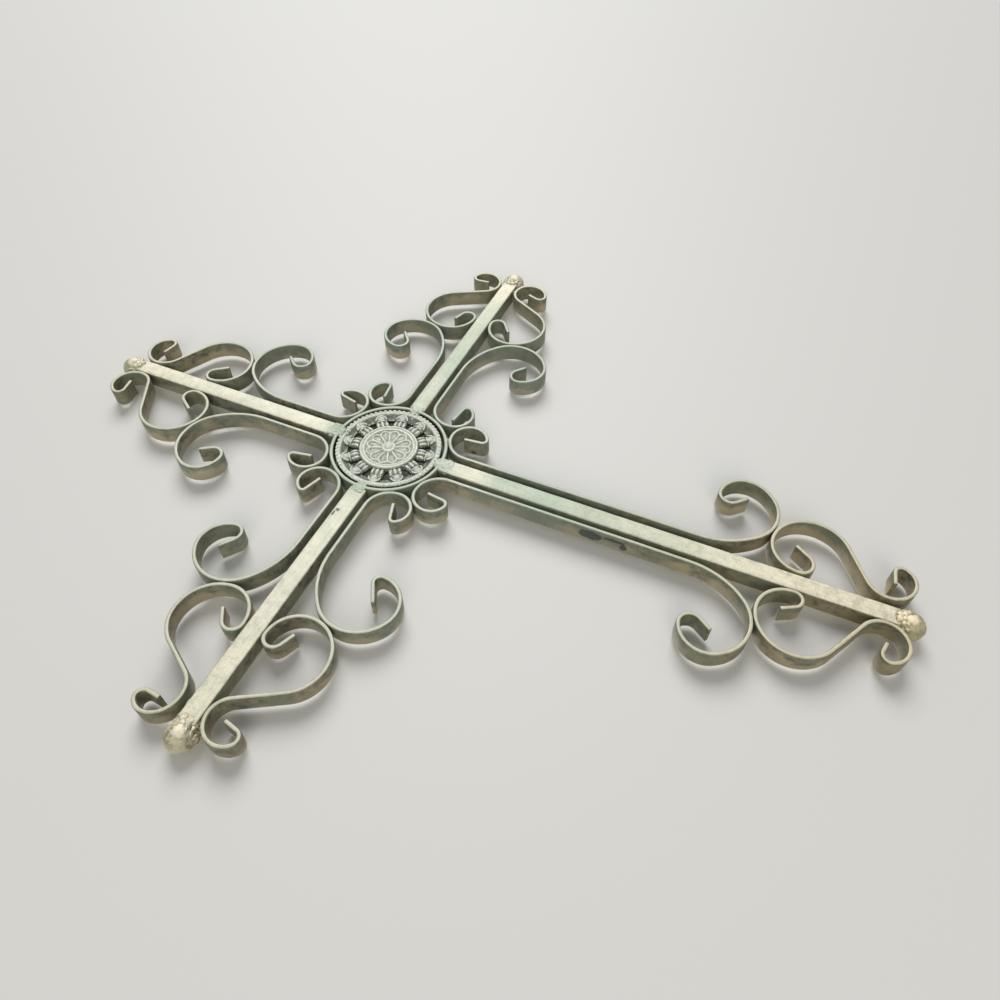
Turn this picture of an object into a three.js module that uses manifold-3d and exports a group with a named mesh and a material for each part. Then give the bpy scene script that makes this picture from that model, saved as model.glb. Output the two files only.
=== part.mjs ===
// Wrought iron wall cross. Square bars run out from a flat-bar hoop that frames a pierced
// rosette casting, and pairs of flat-bar scrolls lie along each arm, which ends in a ball.
// Lengths are in millimetres. The cross stands upright with its back in the plane Y = 0 and
// its face towards -Y. The origin is on the back edge of the hoop, at its top.

import * as THREE from 'three';
import { mergeVertices } from 'three/addons/utils/BufferGeometryUtils.js';
import Module from 'manifold-3d';

// Driving dimensions: stock
const SEAM = 0.3;               // gap left between two pieces that touch
const STRIP_THICKNESS = 2.5;    // flat bar of the hoop and the scrolls
const STRIP_DEPTH = 12.7;       // the same bar, from the back plane to the face
const BAR_SIDE = 12;            // square bar of the arms, its back in the back plane

// Driving dimensions: arms and balls
const SHORT_ARM = 222;          // middle of the cross to the middle of a ball
const FOOT_ARM = 341.6;
const BALL_DIAMETER = 17.4;
const BALL_LENGTH = 17.8;
const BALL_SEAT_DIAMETER = 10.6; // flat of the ball against the end of its bar

// Driving dimensions: hoop and rosette
const HOOP_DIAMETER = 81.2;
const ROSETTE_CLEARANCE = 1.3;  // dark gap between the rosette and the hoop
const ROSETTE_THICKNESS = 3.8;  // web between the pierced windows
const ROSETTE_SETBACK = 0.2;    // rim of the rosette behind the face of the hoop
const RIM_WIDTH = 5.6;          // flat edge and the slope inside it
const RIM_HEIGHT = 3.2;         // above the web
const RIM_LEDGE = 2.6;          // web between the slope and the windows
const WINDOWS = 12;             // one bud stands between each two windows
const SPOKE_WIDTH = 8.4;         // metal left under a bud
const BUD_HEIGHT = 2.6;
const TIP_HEIGHT = 2;           // smaller swelling between the bud and the rim
const DISC_RADIUS = 20;         // raised flower in the middle
const DISC_COLLAR = 0.8;        // web between the flower and the windows
const DISC_RIM_WIDTH = 3;
const DISC_RIM_HEIGHT = 3.4;
const DISC_FIELD_HEIGHT = 2.3;
const RIB_WIDTH = 1;            // between the petals of the flower
const RIB_HEIGHT = 0.7;
const BOSS_DIAMETER = 8.8;
const BOSS_HEIGHT = 1.7;
const LUG_WIDTH = 8;            // weld that holds the rosette to the hoop, one for each arm
const LUG_DEPTH = 4;

// Driving dimensions: long scroll, beside each bar
const RUN_CLEARANCE = 3.9;      // between the bar and the straight run
const CURL_RADIUS = 16.7;       // curl beside the hoop
const CURL_LIP_RADIUS = 11.9;
const CURL_FOLD_RADIUS = 3.4;
const CURL_TAIL = 12;
const FLARE_RADIUS = 51;        // first sweep away from the bar
const FLARE_LOOP_RADIUS = 25.5;
const FLARE_RETURN_RADIUS = 16.8;
const FLARE_FOLD_RADIUS = 7;
const FLARE_TAIL = 9.3;

// Driving dimensions: end scroll, between the long scroll and the ball
const LOOP_TO_BALL = 66;        // where the large loop touches the bar, from the ball's middle
const LOOP_FOOT_RADIUS = 19;
const LOOP_RADIUS = 24;
const LOOP_FOLD_RADIUS = 6.1;
const LOOP_TAIL = 10.4;
const HOOK_TO_BALL = 16;        // where the small hook touches the bar
const HOOK_RADIUS = 14;
const HOOK_LIP_RADIUS = 13.4;
const HOOK_FOLD_RADIUS = 4.6;
const HOOK_TAIL = 9.2;

// Proportions of the bends, in degrees
const CURL_TOP_TURN = 85;
const CURL_LIP_TURN = 58;
const CURL_FOLD_TURN = 115;
const FLARE_TURN = 43;
const FLARE_LOOP_TURN = 116;
const FLARE_RETURN_TURN = 100;
const FLARE_FOLD_TURN = 141;
const LOOP_FOOT_TURN = 95;
const LOOP_FOLD_TURN = 149;
const HOOK_LIP_TURN = 64;
const HOOK_FOLD_TURN = 133;
const HOOK_RISE_TURN = 80;      // heading at which the hook tightens into its lip

// How far the rosette was welded in askew, in degrees
const ROSETTE_TURN = 9.5;

// Fineness of the faceted surfaces
const FACET = 0.2;              // most that a bend's chord departs from its arc
const RING_SIDES = 48;
const TURNED_SIDES = 36;
const BALL_SIDES = 12;

// Sizes that follow from the ones above
const hoopOuter = HOOP_DIAMETER / 2;
const hoopInner = hoopOuter - STRIP_THICKNESS;
const rosetteRadius = hoopInner - ROSETTE_CLEARANCE;
const windowInner = DISC_RADIUS + DISC_COLLAR;
const windowOuter = rosetteRadius - RIM_WIDTH - RIM_LEDGE;
const budRun = rosetteRadius - RIM_WIDTH - windowInner;   // from the flower to the slope
const halfStrip = STRIP_THICKNESS / 2;
const halfBar = BAR_SIDE / 2;
const touchOffset = halfBar + SEAM + halfStrip;           // middle of a strip that touches a bar
const runOffset = halfBar + RUN_CLEARANCE + halfStrip;    // middle of the straight run

const iron = (name, color, roughness, metalness) =>
  new THREE.MeshStandardMaterial({ name, color, roughness, metalness });
const barIron = iron('bar iron', 0x8f8f80, 0.55, 0.7);
const scrollIron = iron('scroll iron', 0x8a8b7e, 0.55, 0.7);
const castIron = iron('rosette iron', 0x7f8a80, 0.6, 0.7);
const ballIron = iron('ball iron', 0x9a917a, 0.5, 0.7);

const radians = THREE.MathUtils.degToRad;
const degrees = THREE.MathUtils.radToDeg;

const along = (point, angle, distance) =>
  new THREE.Vector2(point.x + distance * Math.cos(angle), point.y + distance * Math.sin(angle));

// A bent strip is drawn by its middle line, a run of straights and arcs that follow each
// other without a kink. A turn above zero goes to the left.
class Bend {
  constructor(start, heading) {
    this.heading = heading;
    this.stations = [{ point: start.clone(), heading }];
  }

  get end() {
    return this.stations[this.stations.length - 1].point;
  }

  straight(length) {
    const point = along(this.end, this.heading, length);
    this.stations.push({ point, heading: this.heading });
    return this;
  }

  turn(radius, angle) {
    const side = Math.sign(angle) * Math.PI / 2;
    const sweep = radians(angle);
    const centre = along(this.end, this.heading + side, radius);
    const step = 2 * Math.acos(1 - Math.min(FACET / radius, 0.1));
    const count = Math.max(2, Math.ceil(Math.abs(sweep) / step));
    const first = this.heading;
    for (let i = 1; i <= count; i += 1) {
      const heading = first + sweep * i / count;
      this.stations.push({ point: along(centre, heading - side, radius), heading });
    }
    this.heading = first + sweep;
    return this;
  }

  // The same line run from its other end.
  reversed() {
    const back = new Bend(this.end, this.heading + Math.PI);
    back.stations = this.stations.slice().reverse()
      .map(({ point, heading }) => ({ point, heading: heading + Math.PI }));
    back.heading = this.stations[0].heading + Math.PI;
    return back;
  }

  join(next) {
    this.stations.push(...next.stations.slice(1));
    this.heading = next.heading;
    return this;
  }

  // Flat bar along the line, mirrored to the other side of the bar where side is -1.
  strip(side) {
    const left = this.stations.map(({ point, heading }) =>
      along(point, heading + Math.PI / 2, halfStrip));
    const right = this.stations.map(({ point, heading }) =>
      along(point, heading - Math.PI / 2, halfStrip));
    const outline = right.concat(left.reverse())
      .map((corner) => new THREE.Vector2(corner.x, corner.y * side));
    const shape = new THREE.Shape(outline);
    return new THREE.ExtrudeGeometry(shape, { depth: STRIP_DEPTH, bevelEnabled: false });
  }
}

// Places along an arm. x runs out from the middle of the cross and y away from the bar.
function loopPlace(armLength) {
  const foot = new THREE.Vector2(armLength - LOOP_TO_BALL, touchOffset);
  const footCentre = new THREE.Vector2(foot.x, foot.y + LOOP_FOOT_RADIUS);
  const joinAngle = radians(-90 - LOOP_FOOT_TURN);
  const centre = along(footCentre, joinAngle, LOOP_FOOT_RADIUS - LOOP_RADIUS);
  return { foot, centre };
}

// The large loop leaves its circle on the straight that meets the hook's circle.
function endScroll(armLength) {
  const { foot, centre } = loopPlace(armLength);
  const hookCentre = new THREE.Vector2(armLength - HOOK_TO_BALL, touchOffset + HOOK_RADIUS);
  const between = hookCentre.clone().sub(centre);
  const reach = between.length();
  const sum = LOOP_RADIUS + HOOK_RADIUS;
  const heading = degrees(Math.atan2(between.y, between.x) - Math.asin(sum / reach));
  const loopTurn = 180 - LOOP_FOOT_TURN - heading;

  const inner = new Bend(foot, 0)
    .turn(LOOP_FOLD_RADIUS, LOOP_FOLD_TURN)
    .straight(LOOP_TAIL)
    .reversed();
  const outer = new Bend(foot, Math.PI)
    .turn(LOOP_FOOT_RADIUS, -LOOP_FOOT_TURN)
    .turn(LOOP_RADIUS, -loopTurn)
    .straight(Math.sqrt(reach * reach - sum * sum))
    .turn(HOOK_RADIUS, HOOK_RISE_TURN - heading)
    .turn(HOOK_LIP_RADIUS, HOOK_LIP_TURN)
    .turn(HOOK_FOLD_RADIUS, HOOK_FOLD_TURN)
    .straight(HOOK_TAIL);
  return inner.join(outer);
}

// The long scroll touches the hoop, its neighbour across the diagonal and the large loop.
function longScroll(armLength) {
  const curlHeight = runOffset + CURL_RADIUS;
  const hoopReach = hoopOuter + SEAM + halfStrip + CURL_RADIUS;
  const curlX = Math.sqrt(hoopReach * hoopReach - curlHeight * curlHeight);
  const nearest = curlX - CURL_RADIUS;
  const room = (nearest - curlHeight) * Math.SQRT2 - STRIP_THICKNESS - SEAM;
  const topRadius = room / (2 - Math.SQRT2);

  const loop = loopPlace(armLength).centre;
  const flareAngle = radians(FLARE_TURN - 90);
  const shift = FLARE_RADIUS - FLARE_LOOP_RADIUS;
  const flareHeight = runOffset + FLARE_RADIUS + shift * Math.sin(flareAngle);
  const loopReach = FLARE_LOOP_RADIUS + LOOP_RADIUS + STRIP_THICKNESS + SEAM;
  const rise = flareHeight - loop.y;
  const flareX = loop.x - Math.sqrt(loopReach * loopReach - rise * rise)
    - shift * Math.cos(flareAngle);

  const curl = new Bend(new THREE.Vector2(curlX, runOffset), Math.PI)
    .turn(CURL_RADIUS, -90)
    .turn(topRadius, -CURL_TOP_TURN)
    .turn(CURL_LIP_RADIUS, -CURL_LIP_TURN)
    .turn(CURL_FOLD_RADIUS, -CURL_FOLD_TURN)
    .straight(CURL_TAIL);
  const flare = new Bend(new THREE.Vector2(curlX, runOffset), 0)
    .straight(flareX - curlX)
    .turn(FLARE_RADIUS, FLARE_TURN)
    .turn(FLARE_LOOP_RADIUS, FLARE_LOOP_TURN)
    .turn(FLARE_RETURN_RADIUS, FLARE_RETURN_TURN)
    .turn(FLARE_FOLD_RADIUS, FLARE_FOLD_TURN)
    .straight(FLARE_TAIL);
  return curl.reversed().join(flare);
}

function named(name, geometry, material) {
  const mesh = new THREE.Mesh(geometry, material);
  mesh.name = name;
  return mesh;
}

// Square bar from the hoop to the seat of its ball.
function bar(armLength) {
  const start = hoopOuter + SEAM;
  const end = armLength - ballSeat() - SEAM;
  const geometry = new THREE.BoxGeometry(end - start, BAR_SIDE, BAR_SIDE);
  geometry.translate((start + end) / 2, 0, halfBar);
  return geometry;
}

// Distance from the middle of a ball to its flat seat.
function ballSeat() {
  const share = BALL_SEAT_DIAMETER / BALL_DIAMETER;
  return BALL_LENGTH / 2 * Math.sqrt(1 - share * share);
}

// Slightly long ball, turned about the arm, with the flat seat towards the bar.
function ball(armLength) {
  const seatAngle = Math.asin(BALL_SEAT_DIAMETER / BALL_DIAMETER);
  const rows = Math.ceil(BALL_SIDES / 2);
  const profile = [new THREE.Vector2(0, -ballSeat())];
  for (let i = 0; i <= rows; i += 1) {
    const angle = Math.PI - seatAngle - (Math.PI - seatAngle) * i / rows;
    const radius = i === rows ? 0 : BALL_DIAMETER / 2 * Math.sin(angle);
    profile.push(new THREE.Vector2(radius, BALL_LENGTH / 2 * Math.cos(angle)));
  }
  const geometry = new THREE.LatheGeometry(profile, BALL_SIDES);
  geometry.rotateZ(-Math.PI / 2);
  geometry.translate(armLength, 0, halfBar);
  return geometry;
}

// Ring of flat bar on edge.
function hoop() {
  const shape = new THREE.Shape();
  shape.absarc(0, 0, hoopOuter, 0, 2 * Math.PI, false);
  const inside = new THREE.Path();
  inside.absarc(0, 0, hoopInner, 0, 2 * Math.PI, true);
  shape.holes.push(inside);
  const settings = { depth: STRIP_DEPTH, bevelEnabled: false, curveSegments: RING_SIDES / 2 };
  return new THREE.ExtrudeGeometry(shape, settings);
}

// The joining and cutting of closed solids.
const wasm = await Module();
wasm.setup();

function solid(geometry) {
  const bare = geometry.clone();
  bare.deleteAttribute('normal');
  bare.deleteAttribute('uv');
  const merged = mergeVertices(bare, 1e-4);
  return new wasm.Manifold(new wasm.Mesh({
    numProp: 3,
    vertProperties: new Float32Array(merged.attributes.position.array),
    triVerts: new Uint32Array(merged.index.array),
  }));
}

function geometryOf(body) {
  const mesh = body.getMesh();
  const geometry = new THREE.BufferGeometry();
  geometry.setAttribute('position', new THREE.BufferAttribute(mesh.vertProperties, 3));
  geometry.setIndex(new THREE.BufferAttribute(mesh.triVerts, 1));
  geometry.computeVertexNormals();
  return geometry;
}

// Turned profile about the axis of the rosette, given as [radius, height] pairs.
function turned(pairs) {
  const profile = pairs.map(([radius, height]) => new THREE.Vector2(radius, height));
  const geometry = new THREE.LatheGeometry(profile, TURNED_SIDES);
  geometry.rotateX(Math.PI / 2);
  return geometry;
}

// One window between two spokes, as wide at each radius as the spokes leave it.
function windowCutter(depth) {
  const pitch = Math.PI / WINDOWS;
  const halfAt = (radius) => radius * Math.tan(pitch) - SPOKE_WIDTH / 2;
  const narrow = halfAt(windowInner);
  const wide = halfAt(windowOuter);
  const shape = new THREE.Shape();
  shape.moveTo(windowInner, 0);
  shape.lineTo(windowInner + narrow, -narrow);
  shape.lineTo(windowOuter - wide, -wide);
  shape.absarc(windowOuter - wide, 0, wide, -Math.PI / 2, Math.PI / 2, false);
  shape.lineTo(windowInner + narrow, narrow);
  const settings = { depth, bevelEnabled: false, curveSegments: 3 };
  return new THREE.ExtrudeGeometry(shape, settings);
}

// Swelling on a spoke, at a share of the way from the flower to the rim's slope.
function swelling(share, halfLength, halfWidth, height, base) {
  const geometry = new THREE.SphereGeometry(1, 8, 4);
  geometry.scale(halfLength, halfWidth, height);
  geometry.translate(windowInner + budRun * share, 0, base);
  return geometry;
}

// Rib between two petals of the flower, from the boss to the disc's rim.
function flowerRib(base) {
  const start = BOSS_DIAMETER * 0.4;
  const end = DISC_RADIUS - DISC_RIM_WIDTH / 2;
  const geometry = new THREE.BoxGeometry(end - start, RIB_WIDTH, 2 * RIB_HEIGHT);
  geometry.translate((start + end) / 2, 0, base);
  return geometry;
}

// Pierced rosette, cast in one, with the weld lugs that fill the gap to the hoop.
function rosette() {
  const rim = rosetteRadius;
  const top = STRIP_DEPTH - ROSETTE_SETBACK;
  const web = top - RIM_HEIGHT;
  const back = web - ROSETTE_THICKNESS;
  const discTop = web + DISC_RIM_HEIGHT;
  const field = web + DISC_FIELD_HEIGHT;
  const boss = BOSS_DIAMETER / 2;
  let body = solid(turned([
    [0, back],
    [rim, back],
    [rim, top - RIM_HEIGHT / 4],
    [rim - RIM_WIDTH / 6, top],
    [rim - RIM_WIDTH * 0.45, top],
    [rim - RIM_WIDTH, web],
    [DISC_RADIUS, web],
    [DISC_RADIUS - DISC_RIM_WIDTH / 4, discTop],
    [DISC_RADIUS - DISC_RIM_WIDTH * 3 / 4, discTop],
    [DISC_RADIUS - DISC_RIM_WIDTH, field],
    [boss, field],
    [boss * 0.7, field + BOSS_HEIGHT * 0.75],
    [0, field + BOSS_HEIGHT],
  ]));
  for (let i = 0; i < WINDOWS; i += 1) {
    const angle = radians(ROSETTE_TURN) + 2 * Math.PI * i / WINDOWS;
    const cutter = windowCutter(STRIP_DEPTH * 2);
    cutter.translate(0, 0, -STRIP_DEPTH / 2);
    cutter.rotateZ(angle + Math.PI / WINDOWS);
    body = body.subtract(solid(cutter));
    const bud = swelling(0.3, budRun * 0.45, SPOKE_WIDTH * 0.54, BUD_HEIGHT, web);
    const tip = swelling(0.85, budRun * 0.4, SPOKE_WIDTH * 0.49, TIP_HEIGHT, web);
    const rib = flowerRib(field);
    for (const raised of [bud, tip, rib]) {
      raised.rotateZ(angle);
      body = body.add(solid(raised));
    }
  }
  const lugStart = rim - RIM_WIDTH / 2;
  const lugEnd = Math.sqrt((hoopInner - SEAM) ** 2 - (LUG_WIDTH / 2) ** 2);
  for (let i = 0; i < 4; i += 1) {
    const lug = new THREE.BoxGeometry(lugEnd - lugStart, LUG_WIDTH, LUG_DEPTH);
    lug.translate((lugStart + lugEnd) / 2, 0, web - LUG_DEPTH / 2);
    lug.rotateZ(Math.PI / 2 * i);
    body = body.add(solid(lug));
  }
  return geometryOf(body);
}

// The cross is laid out in a plane, x to the right, y up and z towards the viewer.
const cross = new THREE.Group();
cross.name = 'iron_cross';
const plan = new THREE.Group();
plan.rotation.x = Math.PI / 2;
plan.position.z = -(hoopOuter - halfStrip);
cross.add(plan);

plan.add(named('hoop', hoop(), scrollIron));
plan.add(named('rosette', rosette(), castIron));

const arms = [
  { name: 'head', angle: 90, length: SHORT_ARM, left: 'left', right: 'right' },
  { name: 'right', angle: 0, length: SHORT_ARM, left: 'upper', right: 'lower' },
  { name: 'foot', angle: -90, length: FOOT_ARM, left: 'right', right: 'left' },
  { name: 'left', angle: 180, length: SHORT_ARM, left: 'lower', right: 'upper' },
];
for (const arm of arms) {
  const group = new THREE.Group();
  group.rotation.z = radians(arm.angle);
  group.add(named(`bar_${arm.name}`, bar(arm.length), barIron));
  group.add(named(`ball_${arm.name}`, ball(arm.length), ballIron));
  for (const [place, side] of [[arm.left, 1], [arm.right, -1]]) {
    const long = longScroll(arm.length).strip(side);
    const end = endScroll(arm.length).strip(side);
    group.add(named(`long_scroll_${arm.name}_${place}`, long, scrollIron));
    group.add(named(`end_scroll_${arm.name}_${place}`, end, scrollIron));
  }
  plan.add(group);
}

export default cross;
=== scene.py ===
# %% [markdown]
# # A wrought iron wall cross
# Square bars run out from a hoop, a pierced casting fills the hoop, and flat iron is bent
# into scrolls along each arm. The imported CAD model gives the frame, and every piece made
# here stands where its CAD solid stands. The script works in metres.

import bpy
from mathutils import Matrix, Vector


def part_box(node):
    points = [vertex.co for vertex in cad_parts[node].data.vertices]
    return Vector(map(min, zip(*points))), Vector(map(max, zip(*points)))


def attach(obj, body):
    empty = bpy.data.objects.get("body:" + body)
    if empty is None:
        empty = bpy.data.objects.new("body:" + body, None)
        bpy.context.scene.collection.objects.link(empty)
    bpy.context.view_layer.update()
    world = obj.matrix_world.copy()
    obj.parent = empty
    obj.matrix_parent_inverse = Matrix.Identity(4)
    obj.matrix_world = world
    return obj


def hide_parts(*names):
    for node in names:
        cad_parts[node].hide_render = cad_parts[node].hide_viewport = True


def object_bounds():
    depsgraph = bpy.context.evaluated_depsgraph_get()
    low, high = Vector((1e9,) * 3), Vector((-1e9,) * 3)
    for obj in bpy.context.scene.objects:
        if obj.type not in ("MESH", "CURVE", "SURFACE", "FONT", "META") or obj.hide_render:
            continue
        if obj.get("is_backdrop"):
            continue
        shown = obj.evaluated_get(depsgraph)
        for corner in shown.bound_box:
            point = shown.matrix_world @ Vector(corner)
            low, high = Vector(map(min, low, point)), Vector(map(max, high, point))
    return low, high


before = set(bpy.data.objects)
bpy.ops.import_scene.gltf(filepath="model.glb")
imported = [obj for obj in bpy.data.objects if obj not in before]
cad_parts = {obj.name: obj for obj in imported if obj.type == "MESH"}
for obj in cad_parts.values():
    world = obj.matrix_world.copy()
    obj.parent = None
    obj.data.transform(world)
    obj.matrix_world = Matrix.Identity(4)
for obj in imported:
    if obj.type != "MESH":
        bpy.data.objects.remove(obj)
cad_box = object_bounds()
print("CAD nodes:", len(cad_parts))

# %% Modules and units
import math

import bmesh
import bpy
from mathutils import Matrix, Vector, noise

MM = 0.001
scene = bpy.context.scene
print("CAD box in mm:", [[round(c / MM, 1) for c in corner] for corner in cad_box])

# %% [markdown]
# ## Where everything lies
# The cross is easiest to draw flat, as a smith lays it out on the bench: x to the right,
# y up and z towards the viewer. One matrix then stands the drawing up in the frame, and
# another turns the drawing of one arm to each of the four places. The table of arms holds
# the turn in degrees, the length to the ball, and the names of the arm's left and right
# side. The balls show where the arms end, so their CAD boxes check the matrices.

# %% The bench drawing and the four arms
HOOP_OUTER = 40.6 * MM
STRIP_THICKNESS = 2.5 * MM
STRIP_DEPTH = 12.7 * MM
BAR_SIDE = 12 * MM
SHORT_ARM = 222 * MM
FOOT_ARM = 341.6 * MM
ARMS = {
    "head": (90, SHORT_ARM, "left", "right"),
    "right": (0, SHORT_ARM, "upper", "lower"),
    "foot": (-90, FOOT_ARM, "right", "left"),
    "left": (180, SHORT_ARM, "lower", "upper"),
}
HOOP_MIDDLE = HOOP_OUTER - STRIP_THICKNESS / 2
CENTRE_Z = -HOOP_MIDDLE
STAND_UP = Matrix.Translation((0, 0, CENTRE_Z)) @ Matrix.Rotation(math.radians(90), 4, "X")


def arm_place(arm):
    """The matrix that takes the drawing of an arm along +x to its place in the frame."""
    return STAND_UP @ Matrix.Rotation(math.radians(ARMS[arm][0]), 4, "Z")


def stand_up(bm, arm):
    bmesh.ops.transform(bm, matrix=arm_place(arm), verts=bm.verts)


for arm in ARMS:
    low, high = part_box(f"ball_{arm}")
    drawn = arm_place(arm) @ Vector((ARMS[arm][1], 0, BAR_SIDE / 2))
    print(arm, "ball off by", round(((low + high) / 2 - drawn).length / MM, 2), "mm")

# %% [markdown]
# ## Keeping a finished piece
# A bmesh is only a workbench. These helpers write it to a mesh, give the mesh an object, and
# hide the CAD node that it stands for. The object stays at the origin, so that
# Object coordinates are the same as places in the frame. A closed mesh has no open edges.

# %% Helpers that keep a piece
finished = []


def to_mesh(bm, name):
    """Writes the bmesh to a new mesh and frees it."""
    mesh = bpy.data.meshes.new(name)
    bm.to_mesh(mesh)
    bm.free()
    return mesh


def new_object(name, data):
    made = bpy.data.objects.new(name, data)
    scene.collection.objects.link(made)
    return made


def keep(bm, name, nodes=()):
    """Turns the bmesh into an object with smooth faces that rides on the root body."""
    bmesh.ops.recalc_face_normals(bm, faces=bm.faces)
    open_edges = sum(not edge.is_manifold for edge in bm.edges)
    mesh = to_mesh(bm, name)
    mesh.shade_smooth()
    piece = new_object(name, mesh)
    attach(piece, "root")
    if nodes:
        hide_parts(*nodes)
    finished.append(piece)
    print(name, len(mesh.polygons), "faces, open edges:", open_edges)


# %% [markdown]
# ## Flat iron, swept along its bends
# A smith starts with straight flat bar and bends it cold round a jig, one radius after
# another. The mesh is made in the same order. A single face with rounded corners is the
# cross section, and each move pushes it on: extrude for a straight and spin for a bend. The
# thickness then never changes. The faces left behind inside the iron are deleted.

# %% The section and the sweep
ROLLED_CORNER = 0.75 * MM
STEP = 1.6 * MM
QUARTER = math.radians(90)


def round_off(bm, geom, radius, segments, affect="EDGES"):
    bmesh.ops.bevel(bm, geom=geom, offset=radius, offset_type="OFFSET", segments=segments,
                    profile=0.5, affect=affect, material=-1, clamp_overlap=True)


def section(bm, width, depth, corner, point, heading):
    """A face with rounded corners that stands across the heading, its back on the bench."""
    bmesh.ops.create_grid(bm, x_segments=1, y_segments=1, size=0.5)
    bmesh.ops.scale(bm, verts=bm.verts, vec=(width, depth, 1))
    round_off(bm, bm.verts[:], corner, 3, "VERTICES")
    upright = Matrix.Rotation(QUARTER, 4, "X")
    across = Matrix.Rotation(heading - QUARTER, 4, "Z") @ upright
    lifted = Matrix.Translation((point.x, point.y, depth / 2))
    bmesh.ops.transform(bm, matrix=lifted @ across, verts=bm.verts)
    return bm.faces[:][0]


def ahead(heading):
    """The direction of a heading, as a vector of length one."""
    return Vector((math.cos(heading), math.sin(heading), 0))


def sweep(bm, face, point, heading, moves):
    """Pushes the section along moves of (length, 0) or (radius, degrees to the left)."""
    left_behind = []
    for reach, turn in moves:
        if turn == 0:
            steps = max(1, round(reach / (2 * STEP)))
            for _ in range(steps):
                left_behind.append(face)
                grown = bmesh.ops.extrude_face_region(bm, geom=[face])["geom"]
                face = next(g for g in grown if isinstance(g, bmesh.types.BMFace))
                shift = ahead(heading) * (reach / steps)
                bmesh.ops.translate(bm, verts=face.verts[:], vec=shift)
            point = point + ahead(heading) * reach
            continue
        left_behind.append(face)
        side = math.copysign(QUARTER, turn)
        centre = point + ahead(heading + side) * reach
        steps = max(4, round(reach * math.radians(abs(turn)) / STEP))
        spun = bmesh.ops.spin(bm, geom=[face], cent=centre, axis=(0, 0, 1), steps=steps,
                              angle=math.radians(turn))["geom_last"]
        face = next(g for g in spun if isinstance(g, bmesh.types.BMFace))
        heading += math.radians(turn)
        point = centre - ahead(heading + side) * reach
    inside = [old for old in left_behind[1:] if old.is_valid]
    bmesh.ops.delete(bm, geom=inside, context="FACES_ONLY")


# %% [markdown]
# ## Writing a bend down
# A scroll is drawn from the point where it touches its bar, outwards in both directions,
# because that is where its place is known. A sweep needs one end and one direction, so the
# first half is turned round: the same moves from last to first, each bending the other way.

# %% Turning moves round
def walk(point, heading, moves):
    """The point and heading at the end of the moves."""
    for reach, turn in moves:
        if turn == 0:
            point = point + ahead(heading) * reach
            continue
        side = math.copysign(QUARTER, turn)
        centre = point + ahead(heading + side) * reach
        heading += math.radians(turn)
        point = centre - ahead(heading + side) * reach
    return point, heading


def both_ways(point, heading, backward, forward):
    """One run of moves, from the end of the backward half to the end of the forward one."""
    start, arrived = walk(point, heading + math.pi, backward)
    turned_round = [(reach, -turn) for reach, turn in reversed(backward)]
    return start, arrived + math.pi, turned_round + forward


def mirrored(point, heading, moves):
    """The same bend on the other side of the bar."""
    return Vector((point.x, -point.y, 0)), -heading, [(r, -turn) for r, turn in moves]


start, facing = walk(Vector((0, 0, 0)), 0, [(10 * MM, 180), (5 * MM, 0)])
print("a half turn and a straight end at", [round(c / MM, 2) for c in start])

# %% [markdown]
# ## No two scrolls alike
# The smith bent the free ends by eye, so each one differs by some millimetres. A row gives
# the curl, the flare, the loop and the hook that the photograph shows, as pairs of a radius
# in millimetres and its turn in degrees, and then a straight tail. The hook starts with its
# distance from the ball, its height over the bar, its radius and how far it rises.

# %% Bends read from the photograph
AS_BENT = {
    "head_left": (
        (12.5, 58, 2.9, 116, 12.5), (26.8, 116, 15.3, 108, 6.9, 126, 8.8),
        (6.1, 148, 11.6), (15.2, 0, 13.2, 90, 11.1, 76, 4, 116, 9.3)),
    "head_right": (
        (14.1, 47, 2.6, 124, 12.7), (25.7, 116, 16.6, 103, 6.9, 140, 8.6),
        (5.9, 145, 10.4), (16.1, 0, 14.7, 85, 11.8, 78, 4.6, 118, 9.3)),
    "right_upper": (
        (10.5, 77, 3.1, 101, 12), (24, 101, 17.5, 118, 6.6, 139, 10.1),
        (6, 163, 8.3), (15.5, 0, 13.3, 79, 11.4, 80, 4.3, 117, 9.3)),
    "right_lower": (
        (10.8, 60, 3.3, 116, 13.4), (25.8, 113, 17, 102, 6.6, 142, 8.9),
        (5.9, 144, 11.2), (17.1, 1.5, 12.5, 90, 13.2, 76, 4.6, 124, 8)),
    "foot_right": (
        (12.4, 70, 3.1, 108, 12.4), (25.6, 114, 16.6, 110, 6.9, 137, 8.9),
        (7.5, 146, 10.5), (14.8, 2.8, 14.8, 87, 11.4, 72, 3.9, 116, 9.6)),
    "foot_left": (
        (11.3, 77, 3.5, 101, 11.9), (25.6, 115, 16.8, 101, 7.1, 136, 8.7),
        (5.5, 152, 9.5), (14, 0, 13.8, 85, 12.6, 75, 4.6, 127, 6.5)),
    "left_lower": (
        (10.1, 69, 2.7, 98, 12.1), (25.6, 109, 18.7, 118, 4.3, 119, 13.7),
        (6.2, 157, 9.1), (14.9, 0.2, 13.3, 80, 12.2, 56, 4.5, 122, 8.9)),
    "left_upper": (
        (11, 65, 2.5, 101, 12.6), (25.8, 114, 16.6, 108, 6.1, 132, 10.7),
        (6.5, 147, 9.7), (16.2, 3.5, 14.8, 78, 10.2, 63, 4.2, 134, 8.3)),
}
print("scrolls on each side of a bar:", len(AS_BENT))

# %% [markdown]
# ## The end scroll
# The scroll next to a ball is an S. Its large loop rests against the bar and folds back
# inside itself, and its small hook rests against the bar again, close to the ball. The
# straight between them touches both circles, so its direction follows from where they are.

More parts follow.
